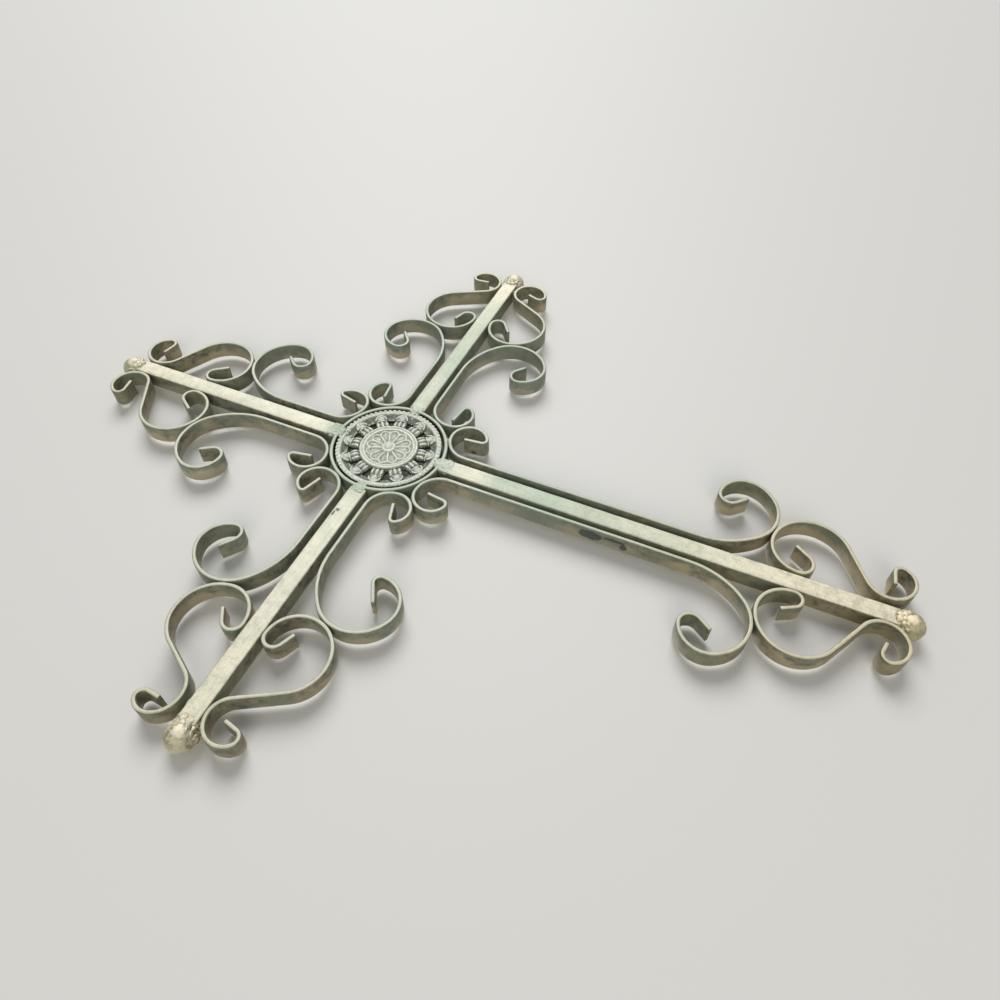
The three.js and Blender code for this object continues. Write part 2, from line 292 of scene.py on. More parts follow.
# %% Moves of the end scroll
SEAM = 0.3 * MM
TOUCHING = BAR_SIDE / 2 + SEAM + STRIP_THICKNESS / 2
LOOP_TO_BALL = 66 * MM
LOOP_FOOT = (19 * MM, 95)
LOOP_RADIUS = 24 * MM


def loop_place(arm_length):
    """Where the large loop touches the bar, and the middle of its circle."""
    foot = Vector((arm_length - LOOP_TO_BALL, TOUCHING, 0))
    radius, turn = LOOP_FOOT
    foot_centre = foot + Vector((0, radius, 0))
    return foot, foot_centre + ahead(math.radians(-90 - turn)) * (radius - LOOP_RADIUS)


def end_scroll(arm_length, bends):
    """Start, heading and moves."""
    foot, centre = loop_place(arm_length)
    _, _, (fold, fold_turn, tail), hook_bends = bends
    to_ball, lift, hook, rise, lip, lip_turn, tip, tip_turn, end = hook_bends
    hook_centre = Vector((arm_length - to_ball * MM, TOUCHING + (lift + hook) * MM, 0))
    between = hook_centre - centre
    together = LOOP_RADIUS + hook * MM
    heading = math.degrees(math.atan2(between.y, between.x)
                           - math.asin(together / between.length))
    inner = [(fold * MM, fold_turn), (tail * MM, 0)]
    outer = [
        (LOOP_FOOT[0], -LOOP_FOOT[1]),
        (LOOP_RADIUS, -(180 - LOOP_FOOT[1] - heading)),
        (math.sqrt(between.length ** 2 - together ** 2), 0),
        (hook * MM, rise - heading),
        (lip * MM, lip_turn),
        (tip * MM, tip_turn),
        (end * MM, 0),
    ]
    return both_ways(foot, math.pi, inner, outer)


print("end scroll, moves:", len(end_scroll(SHORT_ARM, AS_BENT["head_left"])[2]))

# %% [markdown]
# ## The long scroll
# The scroll beside the bar starts in a curl that rests against the hoop and against its
# neighbour across the diagonal, runs along the bar, and ends in a wide flare that rests
# against the end scroll. Those three touching points set the radius over the curl and the
# length of the run, here as on the bench.

# %% Moves of the long scroll
RUN_OFFSET = BAR_SIDE / 2 + 3.9 * MM + STRIP_THICKNESS / 2
CURL_RADIUS = 16.7 * MM
CURL_TOP_TURN = 85
FLARE = (51 * MM, 43)
FLARE_LOOP = 25.5 * MM


def curl_place():
    """The middle of the curl's circle, which touches the run and the hoop."""
    height = RUN_OFFSET + CURL_RADIUS
    reach = HOOP_OUTER + SEAM + STRIP_THICKNESS / 2 + CURL_RADIUS
    return math.sqrt(reach ** 2 - height ** 2), height


def long_scroll(arm_length, bends):
    """Start, heading and moves."""
    curl_x, curl_height = curl_place()
    room = (curl_x - CURL_RADIUS - curl_height) * math.sqrt(2) - STRIP_THICKNESS - SEAM
    top_radius = room / (2 - math.sqrt(2))

    loop = loop_place(arm_length)[1]
    shift = (FLARE[0] - FLARE_LOOP) * ahead(math.radians(FLARE[1] - 90))
    rise = RUN_OFFSET + FLARE[0] + shift.y - loop.y
    reach = FLARE_LOOP + LOOP_RADIUS + STRIP_THICKNESS + SEAM
    flare_x = loop.x - math.sqrt(reach ** 2 - rise ** 2) - shift.x

    lip, lip_turn, fold, fold_turn, tail = bends[0]
    curl = [
        (CURL_RADIUS, -90),
        (top_radius, -CURL_TOP_TURN),
        (lip * MM, -lip_turn),
        (fold * MM, -fold_turn),
        (tail * MM, 0),
    ]
    wide, wide_turn, back, back_turn, fold, fold_turn, tail = bends[1]
    flare = [
        (flare_x - curl_x, 0),
        FLARE,
        (wide * MM, wide_turn),
        (back * MM, back_turn),
        (fold * MM, fold_turn),
        (tail * MM, 0),
    ]
    return both_ways(Vector((curl_x, RUN_OFFSET, 0)), 0, curl, flare)


moves = long_scroll(SHORT_ARM, AS_BENT["head_left"])[2]
print("radius over the curl:", round(moves[3][0] / MM, 2), "mm")

# %% [markdown]
# ## Marks of handwork
# A bench jig and a hammer leave iron slightly uneven. Noise that depends on the place in
# the frame moves each vertex by a few tenths of a millimetre, so strips that touch are
# moved alike. The cut ends are bevelled, because a sharp edge would catch no light.

# %% Unevenness and cut ends
DRIFTS_PER_METRE = 14
CUT_EDGE = 0.3 * MM
BAR_END_EDGE = 0.4 * MM


def hammer(bm, drift, dents, dent_size):
    """Long slow drift in the plane of the cross, and small dents along the normals."""
    bm.normal_update()
    for vert in bm.verts:
        slow = noise.noise_vector(vert.co * DRIFTS_PER_METRE)
        small = noise.noise(vert.co * (1 / dent_size))
        fine = noise.noise(vert.co * (3 / dent_size))
        vert.co += Vector((slow.x, 0, slow.z)) * drift
        vert.co += vert.normal * (small + 0.5 * fine) * dents


def soften_ends(bm, radius):
    """Bevels the edges round the two cut ends."""
    ends = [face for face in bm.faces if len(face.verts) > 4]
    rims = list({edge for face in ends for edge in face.edges})
    round_off(bm, rims, radius, 2)


# %% [markdown]
# ## Sixteen scrolls
# Each arm has two long scrolls and two end scrolls, the ones on the right of an arm drawn
# as mirror images. The section is swept in the arm's drawing and then turned to its place.

# %% Make the scrolls
for arm, (_, length, left, right) in ARMS.items():
    for place, side in ((left, 1), (right, -1)):
        bends = AS_BENT[f"{arm}_{place}"]
        for kind, shape in (("long", long_scroll), ("end", end_scroll)):
            run = shape(length, bends)
            start, facing, moves = run if side == 1 else mirrored(*run)
            bm = bmesh.new()
            face = section(bm, STRIP_THICKNESS, STRIP_DEPTH, ROLLED_CORNER, start, facing)
            sweep(bm, face, start, facing, moves)
            soften_ends(bm, CUT_EDGE)
            stand_up(bm, arm)
            hammer(bm, 0.35 * MM, 0.07 * MM, 5 * MM)
            node = f"{kind}_scroll_{arm}_{place}"
            keep(bm, f"{node}_iron", [node])

# %% [markdown]
# ## The hoop
# The hoop is the same flat iron, bent until its ends meet and welded shut. A full spin of
# the section's outline makes it, and use_merge closes it, so it has no cap faces inside.

# %% Make the hoop
HOOP_STEPS = 144
bm = bmesh.new()
face = section(bm, STRIP_THICKNESS, STRIP_DEPTH, ROLLED_CORNER,
               Vector((HOOP_MIDDLE, 0, 0)), QUARTER)
bmesh.ops.delete(bm, geom=[face], context="FACES_ONLY")
bmesh.ops.spin(bm, geom=bm.verts[:] + bm.edges[:], cent=(0, 0, 0), axis=(0, 0, 1),
               angle=math.tau, steps=HOOP_STEPS, use_merge=True)
bmesh.ops.transform(bm, matrix=STAND_UP, verts=bm.verts)
hammer(bm, 0.15 * MM, 0.07 * MM, 5 * MM)
keep(bm, "hoop_iron", ["hoop"])

# %% [markdown]
# ## The bars
# A bar is square stock, twelve millimetres thick, with its edges worn round. It is swept in
# steps instead of one long box, so that the same unevenness can run along its faces. It
# ends where the ball has narrowed to its seat, which follows from the ball's ellipse.

# %% Make the bars
BAR_CORNER = 1.1 * MM
BALL_DIAMETER = 17.4 * MM
BALL_LENGTH = 17.8 * MM
SEAT_DIAMETER = 10.6 * MM
SEAT = BALL_LENGTH / 2 * math.sqrt(1 - (SEAT_DIAMETER / BALL_DIAMETER) ** 2)

for arm, (_, length, _, _) in ARMS.items():
    bm = bmesh.new()
    start = Vector((HOOP_OUTER + SEAM, 0, 0))
    end_x = length - SEAT - SEAM
    face = section(bm, BAR_SIDE, BAR_SIDE, BAR_CORNER, start, 0)
    sweep(bm, face, start, 0, [(end_x - start.x, 0)])
    soften_ends(bm, BAR_END_EDGE)
    stand_up(bm, arm)
    hammer(bm, 0.1 * MM, 0.12 * MM, 7 * MM)
    keep(bm, f"bar_{arm}_iron", [f"bar_{arm}"])

# %% [markdown]
# ## The balls
# Each arm ends in a forged ball. It is a sphere with uneven dents, and it is kept a hair
# inside its CAD solid so that the dents stay in the CAD box.

# %% Make the balls
ROOM_FOR_DENTS = (0.98, 0.975, 0.975)
for arm, (_, length, _, _) in ARMS.items():
    bm = bmesh.new()
    bmesh.ops.create_uvsphere(bm, u_segments=64, v_segments=40, radius=0.5)
    bmesh.ops.rotate(bm, verts=bm.verts, matrix=Matrix.Rotation(QUARTER, 3, "Y"))
    bmesh.ops.scale(bm, verts=bm.verts, vec=(BALL_LENGTH, BALL_DIAMETER, BALL_DIAMETER))
    bmesh.ops.scale(bm, verts=bm.verts, vec=ROOM_FOR_DENTS)
    bmesh.ops.translate(bm, verts=bm.verts, vec=(length, 0, BAR_SIDE / 2))
    stand_up(bm, arm)
    hammer(bm, 0, 0.22 * MM, 3.5 * MM)
    keep(bm, f"ball_{arm}_iron", [f"ball_{arm}"])

# %% [markdown]
# ## The rosette, first as loose forms
# The middle is an iron casting. Its pattern was built up from simple forms: a rim that
# slopes inwards like a dish, twelve buds that point at it, a disc with a flower, and a rope
# of beads. They are made here one by one as closed shells that sink into each other.

# %% Turned forms and copies round the middle
def lathe(bm, profile, steps):
    """Spins a chain of [radius, height] points about z and closes it on the axis."""
    verts = [bm.verts.new((radius * MM, 0, height * MM)) for radius, height in profile]
    edges = [bm.edges.new(pair) for pair in zip(verts, verts[1:])]
    bmesh.ops.spin(bm, geom=verts + edges, cent=(0, 0, 0), axis=(0, 0, 1),
                   angle=math.tau, steps=steps, use_merge=True)
    bmesh.ops.remove_doubles(bm, verts=bm.verts, dist=0.001 * MM)


def lay_round(target, shape, count, first=0):
    """Makes the shape once and copies its shell to even places round the middle."""
    bm = bmesh.new()
    shape(bm)
    bmesh.ops.recalc_face_normals(bm, faces=bm.faces)
    mesh = to_mesh(bm, "shell")
    mesh.transform(Matrix.Rotation(first, 4, "Z"))
    for _ in range(count):
        target.from_mesh(mesh)
        mesh.transform(Matrix.Rotation(math.tau / count, 4, "Z"))
    bpy.data.meshes.remove(mesh)


def pebble(bm, place, size):
    """A stretched sphere, the loose form for anything rounded. Sizes are half lengths in mm."""
    made = bmesh.ops.create_uvsphere(bm, u_segments=24, v_segments=14, radius=MM)["verts"]
    bmesh.ops.scale(bm, verts=made, vec=size)
    bmesh.ops.translate(bm, verts=made, vec=Vector(place) * MM)


# %% [markdown]
# Heights are measured from the back of the cross, in millimetres. The rope of beads lies
# level with the front of the hoop, and the web under the buds is three millimetres lower.
# The disc is turned too: a rounded border, a sunk field for the flower, and a round boss.

# %% The rim and the disc
RIM_TOP = 12.5
WEB = 9.3
CAST_BACK = 5.5
WINDOW_END = 28.6
RIM_RADIUS = 36.5
BEAD_LINE = 35.5
DISC_RADIUS = 20.8


def rim(bm):
    """From the window's end along the back, up the outside and down the dished front."""
    lathe(bm, [
        (WINDOW_END, CAST_BACK), (RIM_RADIUS, CAST_BACK), (RIM_RADIUS, RIM_TOP - 1.2),
        (BEAD_LINE + 0.8, RIM_TOP - 0.8), (BEAD_LINE - 0.8, RIM_TOP - 0.8),
        (BEAD_LINE - 1.3, RIM_TOP - 0.4), (BEAD_LINE - 2.2, RIM_TOP - 0.7),
        (31, WEB + 0.4), (WINDOW_END + 0.4, WEB), (WINDOW_END, WEB - 0.5),
        (WINDOW_END, CAST_BACK),
    ], 144)


def disc(bm):
    """From the back up the side, over the border and across the field to the boss."""
    lathe(bm, [
        (0, CAST_BACK), (DISC_RADIUS, CAST_BACK), (DISC_RADIUS, WEB),
        (20.4, WEB + 1.4), (20.1, WEB + 2.7),
        (19.5, WEB + 3.3), (18.9, WEB + 3.2), (18.4, WEB + 2.4), (17.7, WEB + 2.3),
        (17.3, WEB + 2.9), (16.7, WEB + 2.9), (16.3, WEB + 1.9), (5, WEB + 1.9),
        (4.8, WEB + 2.7), (4.1, WEB + 3.2), (3.4, WEB + 2.8), (2.9, WEB + 2.8),
        (2.2, WEB + 3.6), (1.1, WEB + 4), (0, WEB + 4.1),
    ], 120)


# %% [markdown]
# A bud has a ribbed belly by the disc, of three lobes side by side, and a round cap with a
# raised edge, like an acorn's, that leans on the slope of the rim. A flat tongue under it
# joins disc and rim. It is as wide as the belly, so the windows stay small and dark.

# %% The buds and their tongues
RIB_THICKNESS = 0.6
TONGUE = (15, 8.2, WEB - CAST_BACK)
TONGUE_EDGE = 1.1 * MM


def bud(bm):
    for across, tall in ((-3, 2.2), (0, 2.8), (3, 2.2)):
        pebble(bm, (23.4 - 0.05 * across ** 2, across, WEB), (4, 1.6, tall))
    pebble(bm, (23.2, 0, WEB), (4.2, 4.5, 1.8))
    pebble(bm, (27.1, 0, WEB), (0.8, 4.4, 2.4))
    pebble(bm, (29.3, 0, WEB + 0.4), (3.6, 3.7, 2))
    arch_rib(bm, (28.2, 0, WEB + 1.5), 3.9)


def arch_rib(bm, middle, radius):
    """Half a turn of a thin round section, open towards the middle of the cross."""
    made = bmesh.ops.create_circle(bm, cap_ends=True, segments=12,
                                   radius=RIB_THICKNESS * MM)["verts"]
    bmesh.ops.rotate(bm, verts=made, matrix=Matrix.Rotation(QUARTER, 3, "Y"))
    bmesh.ops.scale(bm, verts=made, vec=(1, 1, 1.5))
    bmesh.ops.translate(bm, verts=made, vec=(Vector(middle) - Vector((0, radius, 0))) * MM)
    face = made[0].link_faces[0]
    bmesh.ops.spin(bm, geom=[face], cent=Vector(middle) * MM, axis=(0, 0, 1), angle=math.pi,
                   steps=16)


def tongue(bm):
    bmesh.ops.create_cube(bm, size=1)
    bmesh.ops.scale(bm, verts=bm.verts, vec=Vector(TONGUE) * MM)
    place = Vector((26, 0, (WEB + CAST_BACK) / 2)) * MM
    bmesh.ops.translate(bm, verts=bm.verts, vec=place)
    upper = [edge for edge in bm.edges if all(v.co.z > place.z for v in edge.verts)]
    round_off(bm, upper, TONGUE_EDGE, 3)


# %% [markdown]
# The flower's petals are drawn by their ribs. Each petal has a round arch at its outer end,
# half a turn of a thin section, and a straight rib leads in to the boss on either side. A
# low swelling fills each petal.

# %% The petals and the beads
ARCH_RADIUS = 2.95
ARCH_MIDDLE = 12.3
FIELD = WEB + 1.95
BEAD_SIZE = (1.15, 1.25, 1.2)


def petal(bm):
    arch_rib(bm, (ARCH_MIDDLE, 0, FIELD), ARCH_RADIUS)
    pebble(bm, (10.8, 0, FIELD - 0.3), (4, 1.6, 0.6))


def rib(bm):
    pebble(bm, (9.2, 0, FIELD), (5.6, 0.75, 0.95))


def bead(bm):
    bmesh.ops.create_icosphere(bm, subdivisions=2, radius=1)
    bmesh.ops.scale(bm, verts=bm.verts, vec=Vector(BEAD_SIZE) * MM)
    place = Vector((BEAD_LINE, 0, RIM_TOP - 0.9)) * MM
    bmesh.ops.translate(bm, verts=bm.verts, vec=place)


# %% [markdown]
# The flower and the windows are turned by the same few degrees, as the casting was when it
# was set in the hoop. The straight ribs stand half a window further on, between the petals.

# %% Put the loose forms together
WINDOWS = 12
BEADS = 66
ROSETTE_TURN = math.radians(9.5)
HALF_PITCH = math.pi / WINDOWS
loose = bmesh.new()
for shape, count, first in (
        (rim, 1, 0), (disc, 1, 0), (bead, BEADS, 0), (bud, WINDOWS, ROSETTE_TURN),
        (tongue, WINDOWS, ROSETTE_TURN), (petal, WINDOWS, ROSETTE_TURN),
        (rib, WINDOWS, ROSETTE_TURN + HALF_PITCH)):
    lay_round(loose, shape, count, first)
print("loose forms:", len(loose.faces), "faces")

# %% [markdown]
# ## The rosette as one casting
# In the mould all the forms become one skin with soft inner corners. A voxel remesh does
# that: it throws away everything inside and wraps one closed surface round the rest. Two
# smoothing steps take away its small stairs, and noise gives the sand-cast surface its
# grain. The casting sits half a millimetre off the middle of the hoop.

# %% Remesh and roughen
VOXEL = 0.36 * MM
ROSETTE_SLIP = (0.25 * MM, 0.5 * MM, 0)
mould = new_object("mould", to_mesh(loose, "loose"))
remesh = mould.modifiers.new("skin", "REMESH")
remesh.mode = "VOXEL"
remesh.voxel_size = VOXEL
remesh.adaptivity = 0.08 * MM
evaluated = mould.evaluated_get(bpy.context.evaluated_depsgraph_get())
bm = bmesh.new()
bm.from_mesh(evaluated.to_mesh())
evaluated.to_mesh_clear()
bpy.data.objects.remove(mould)
for _ in range(2):
    bmesh.ops.smooth_vert(bm, verts=bm.verts, factor=0.5, use_axis_x=True, use_axis_y=True,
                          use_axis_z=True)
bmesh.ops.translate(bm, verts=bm.verts, vec=ROSETTE_SLIP)
bmesh.ops.transform(bm, matrix=STAND_UP, verts=bm.verts)
hammer(bm, 0, 0.14 * MM, 1.5 * MM)
triangles = sum(len(face.verts) - 2 for face in bm.faces)
print("casting:", triangles, "triangles")
keep(bm, "rosette_casting", ["rosette"])

# %% [markdown]
# ## Weld metal
# The pieces are joined with short electric welds that nobody filed off. A bead of weld is a
# sphere that noise has made lumpy, and raising its coordinates to a low power makes it
# boxier. Four large ones bridge from a bar over the hoop's edge to the rosette, a rough
# collar joins each ball to its bar, and small ones sit in the joints of the scrolls.

# %% A bead of weld metal
LARGE_WELD = 9 * MM


def weld_bead(target, place, size, seed, lumps, blunt, taper=0):
    """A rough drop in the arm's drawing. Low powers in blunt make it boxy along x, y, z."""
    bm = bmesh.new()
    bmesh.ops.create_icosphere(bm, subdivisions=5 if size[0] > LARGE_WELD else 3, radius=1)
    for vert in bm.verts:
        where = vert.co * 1.9 + Vector((seed * 3.1, seed * 1.7, 0))
        lump = 1 + lumps * (noise.noise(where) + 0.6 * noise.noise(where * 2.3))
        boxy = Vector([math.copysign(abs(c) ** power, c) for c, power in zip(vert.co, blunt)])
        boxy.y *= 1 + taper * boxy.x
        vert.co = boxy * 0.5 * lump
    bmesh.ops.scale(bm, verts=bm.verts, vec=size)
    bmesh.ops.transform(bm, matrix=place, verts=bm.verts)
    mesh = to_mesh(bm, "bead")
    target.from_mesh(mesh)
    bpy.data.meshes.remove(mesh)


# %% [markdown]
# The welds at the hoop differ in width and in how far they reach, given here in millimetres
# from the middle of the cross. Each leans a little towards the bar and widens that way.

# %% Welds at the hoop
HOOP_WELDS = {
    "head": (12.4, 34.6, 48),
    "right": (9.5, 35.6, 45),
    "foot": (12, 34.8, 49),
    "left": (9.5, 35.2, 45),
}
WELD_HEIGHT = 11
WELD_THICKNESS = 3.7
DOWN_TO_BAR = Matrix.Rotation(math.radians(3), 4, "Y")
for arm, (width, inner, outer) in HOOP_WELDS.items():
    bm = bmesh.new()
    middle = Vector(((inner + outer) / 2, 0, WELD_HEIGHT)) * MM
    size = Vector((outer - inner, width, WELD_THICKNESS)) * MM
    weld_bead(bm, Matrix.Translation(middle) @ DOWN_TO_BAR, size, len(arm), 0.2,
              (0.85, 0.75, 0.55), 0.22)
    stand_up(bm, arm)
    hammer(bm, 0, 0.28 * MM, 1.5 * MM)
    keep(bm, f"weld_hoop_{arm}")

# %% [markdown]
# At a ball the weld is a collar of three rings of lumps, one round the end of the bar and
# two that have run some way over the ball. A row gives the number of lumps, the ring's
# distance from the seat, its half width and half depth, and the size of a lump.

# %% Collars at the balls
COLLARS = [
    (10, -0.4, 5, 4.8, (6.4, 6.4, 5.4)),
    (13, 2.4, 6.3, 6.1, (5, 4.8, 3.2)),
    (15, 4.8, 7.3, 7.1, (4.4, 4.2, 1.5)),
]
for index, (arm, (_, length, _, _)) in enumerate(ARMS.items()):
    bm = bmesh.new()
    for ring, (count, ahead_of_seat, wide, deep, size) in enumerate(COLLARS):
        for i in range(count):
            angle = math.tau * (i + 0.4 * ring) / count
            middle = Vector((length - SEAT + ahead_of_seat * MM, wide * MM * math.cos(angle),
                             BAR_SIDE / 2 + deep * MM * math.sin(angle)))
            weld_bead(bm, Matrix.Translation(middle), Vector(size) * MM,
                      index * 40 + ring * 13 + i, 0.25, (1, 1, 1))
    stand_up(bm, arm)
    hammer(bm, 0, 0.14 * MM, 1.2 * MM)
    keep(bm, f"weld_ball_{arm}")

# %% [markdown]
# The touching points follow from the bends: the loop and the hook on the bar, and the curl
# on the hoop. A thin bead sits in each joint, halfway up the strip, and sinks into the iron
# on both sides.

# %% Welds between the strips
HOOK_TO_BALL = 16 * MM
TOUCH_WELD = (6 * MM, 2.4 * MM, 9 * MM)
curl_x, curl_height = curl_place()
curl_angle = math.atan2(curl_height, curl_x)
for index, (arm, (_, length, _, _)) in enumerate(ARMS.items()):
    foot = loop_place(length)[0]
    touches = [
        (foot.x, TOUCHING - STRIP_THICKNESS / 2),
        (length - HOOK_TO_BALL, TOUCHING - STRIP_THICKNESS / 2),
        (HOOP_OUTER * math.cos(curl_angle), HOOP_OUTER * math.sin(curl_angle)),
    ]
    bm = bmesh.new()
    for side in (1, -1):
        for i, (x, y) in enumerate(touches):
            place = Matrix.Translation((x, side * y, STRIP_DEPTH / 2))
            weld_bead(bm, place, TOUCH_WELD, index * 7 + i, 0.15, (1, 1, 0.6))
    stand_up(bm, arm)
    keep(bm, f"weld_touch_{arm}")

# %% [markdown]
# ## Helpers for the materials
# A finish is a network of shader nodes. One helper adds a node and sets or links its inputs,
# and another makes a node group, which is built once and used in several finishes.

# %% Node helpers
def add(tree, kind, inputs=None, **settings):
    """Adds a shader node. An input's value is a number, a colour or another socket."""
    made = tree.nodes.new(kind)
    for name, value in settings.items():
        setattr(made, name, value)
    for name, value in (inputs or {}).items():
        socket = made.inputs[name]
        if isinstance(value, bpy.types.NodeSocket):
            tree.links.new(value, socket)
        else:
            socket.default_value = value
    return made


def group(name, takes, gives):
    """An empty node group with named sockets, and the values that it takes."""
    tree = bpy.data.node_groups.new(name, "ShaderNodeTree")
    for label, kind in takes.items():
        tree.interface.new_socket(name=label, in_out="INPUT", socket_type=kind)
    for label, kind in gives.items():
        tree.interface.new_socket(name=label, in_out="OUTPUT", socket_type=kind)
    return tree, add(tree, "NodeGroupInput").outputs


def between(tree, value, low, high):
    """A value's way from low to high, as a smooth mask from 0 to 1."""
    made = add(tree, "ShaderNodeMapRange", {"Value": value, "From Min": low, "From Max": high},
               interpolation_type="SMOOTHSTEP")
    return made.outputs["Result"]


def mixed(tree, mask, first, second, mode="MIX"):
    """A colour between two others. The numbers are the colour sockets of the Mix node."""
    made = add(tree, "ShaderNodeMix", {0: mask, 6: first, 7: second}, data_type="RGBA",
               blend_type=mode)
    return made.outputs[2]


def maths(tree, operation, first, second):
    """Two numbers put together, kept between 0 and 1."""
    made = add(tree, "ShaderNodeMath", {0: first, 1: second}, operation=operation,
               use_clamp=True)
    return made.outputs[0]


def times(tree, first, second):
    return maths(tree, "MULTIPLY", first, second)


def larger(tree, first, second):
    return maths(tree, "MAXIMUM", first, second)


def grain(tree, vector, scale, detail=4, roughness=0.6):
    """Noise round 0.5. A scale of 100 gives spots of about a centimetre."""
    made = add(tree, "ShaderNodeTexNoise",
               {"Vector": vector, "Scale": scale, "Detail": detail, "Roughness": roughness})
    return made.outputs["Fac"]


# %% [markdown]
# Many masks start from where a point lies or which way its face looks. These helpers take a
# vector apart, measure its length and read the Geometry node.

# %% Helpers for places and directions
FLOAT, COLOUR, VECTOR = "NodeSocketFloat", "NodeSocketColor", "NodeSocketVector"


def part(tree, vector, axis):
    return add(tree, "ShaderNodeSeparateXYZ", {"Vector": vector}).outputs[axis]


def size_of(tree, vector):
    made = add(tree, "ShaderNodeVectorMath", {0: vector}, operation="LENGTH")
    return made.outputs["Value"]


def surface(tree, what):
    return add(tree, "ShaderNodeNewGeometry").outputs[what]


def hand_out(tree, results):
    """Ends a group with the values that it gives."""
    add(tree, "NodeGroupOutput", results)
    print(tree.name, len(tree.nodes), "nodes")


# %% [markdown]
# ## Worn and lit faces
# Every face that looks forwards or backwards turns pale. Part of it is the ground rubbed bare
# by handling and cleaning, and part is a painted highlight where the front faces take the
# light, while the sides keep their dark wax. The mask reads the Y part of the normal, so it
# finds the edges of the strips and the rounded corners beside them without any drawing. Noise
# breaks it up, since nothing is rubbed evenly.

# %% The group for worn and highlit faces
FULLY_PALE = 0.75
tree, takes = group(
    "rubbed edges", {"Vector": VECTOR, "Reach": FLOAT, "Breaks": FLOAT}, {"Mask": FLOAT})
facing_y = part(tree, surface(tree, "Normal"), "Y")
forward = add(tree, "ShaderNodeMath", {0: facing_y}, operation="ABSOLUTE").outputs[0]
patchy = grain(tree, takes["Vector"], 240)
lowered = maths(tree, "SUBTRACT", forward, times(tree, patchy, takes["Breaks"]))
hand_out(tree, {"Mask": between(tree, lowered, takes["Reach"], FULLY_PALE)})

# %% [markdown]
# ## Old patina
# Under the wax the iron was painted a greyed green and aged. Its colour changes at three
# sizes: soft clouds of a few centimetres, blotches of a few millimetres, and a fine speckle.
# The same noises make the dark spots a little smoother, as worn wax is.

# %% The group for patina
tree, takes = group(
    "patina",
    {"Vector": VECTOR, "Light": COLOUR, "Dark": COLOUR, "Bloom": COLOUR, "Flecks": FLOAT},
    {"Color": COLOUR, "Height": FLOAT, "Roughness": FLOAT})
place = takes["Vector"]
clouds = between(tree, grain(tree, place, 28, 3, 0.5), 0.38, 0.64)
blotches = between(tree, grain(tree, place, 190, 5, 0.65), 0.42, 0.66)
speckle = between(tree, grain(tree, place, 1200, 3, 0.7), 0.46, 0.62)
ground = mixed(tree, times(tree, blotches, 0.8), takes["Light"], takes["Dark"])
bloomed = mixed(tree, times(tree, clouds, 0.6), ground, takes["Bloom"])
flecked = mixed(tree, times(tree, speckle, takes["Flecks"]), bloomed, takes["Dark"])
uneven = maths(tree, "ADD", times(tree, blotches, 0.5), times(tree, speckle, 0.4))
dullness = add(tree, "ShaderNodeMapRange",
               {"Value": uneven, "To Min": 0.62, "To Max": 0.42}).outputs["Result"]
hand_out(tree, {"Color": flecked, "Height": uneven, "Roughness": dullness})

# %% [markdown]
# ## Warm ends and a cool middle
# The wax has yellowed towards the long arm's end and round the balls, while the middle, the
# long arm's first part and the right arm kept a bluish green. This group measures how far
# down the cross a point lies, how far across and how far from the middle, and gives two
# soft masks with cloudy edges. The Mapping node puts the middle of the cross at zero, so
# that the length of the vector is the distance from it.

# %% The group for tints
tree, takes = group("tints", {"Vector": VECTOR}, {"Warm": FLOAT, "Cool": FLOAT})
place = takes["Vector"]
centred = add(tree, "ShaderNodeMapping",
              {"Vector": place, "Location": (0, 0, -CENTRE_Z)}).outputs["Vector"]
reach = size_of(tree, centred)
height, across = part(tree, centred, "Z"), part(tree, centred, "X")
cloudy = between(tree, grain(tree, place, 45, 3, 0.6), 0.3, 0.7)
drop = times(tree, between(tree, height, -0.15, -0.31), 0.8)
tips = times(tree, between(tree, reach, 0.1, 0.22), 0.45)
some = maths(tree, "ADD", times(tree, cloudy, 0.45), 0.55)
warm_mask = times(tree, larger(tree, drop, tips), some)

# %% [markdown]
# The cool mask joins three places: round the middle, a band down the long arm and a band
# along the right one. A band is the product of two masks that fade in opposite directions.

# %% The cool places
def band(tree, value, starts, ends):
    return times(tree, between(tree, value, *starts), between(tree, value, *ends))


near = between(tree, reach, 0.065, 0.04)
foot_band = band(tree, height, (-0.055, -0.085), (-0.25, -0.2))
right_band = band(tree, across, (0.035, 0.05), (0.21, 0.17))
places = larger(tree, near, larger(tree, foot_band, right_band))
wisps = times(tree, cloudy, 0.4)
most = maths(tree, "ADD", wisps, 0.6)
cool_mask = larger(tree, times(tree, places, most), wisps)
hand_out(tree, {"Warm": warm_mask, "Cool": cool_mask})

# %% [markdown]
# ## Tan towards the back
# The back half of the sides, towards the surface the cross lies on, is tan. The mask follows
# the Y coordinate, and noise moves its border up and down, so that it runs like a tide line
# along the strips. Larger clouds make it come and go.

# %% The group for tan backs
tree, takes = group("tan backs", {"Vector": VECTOR}, {"Mask": FLOAT})
place = takes["Vector"]
wave = add(tree, "ShaderNodeMapRange",
           {"Value": grain(tree, place, 60, 4, 0.6), "From Min": 0.3, "From Max": 0.7,
            "To Min": -6 * MM, "To Max": 6 * MM}).outputs["Result"]
border = add(tree, "ShaderNodeMath", {0: part(tree, place, "Y"), 1: wave}).outputs[0]
behind = between(tree, border, -10 * MM, -2.5 * MM)
come_and_go = between(tree, grain(tree, place, 16, 2, 0.5), 0.3, 0.65)
hand_out(tree, {"Mask": times(tree, behind, come_and_go)})
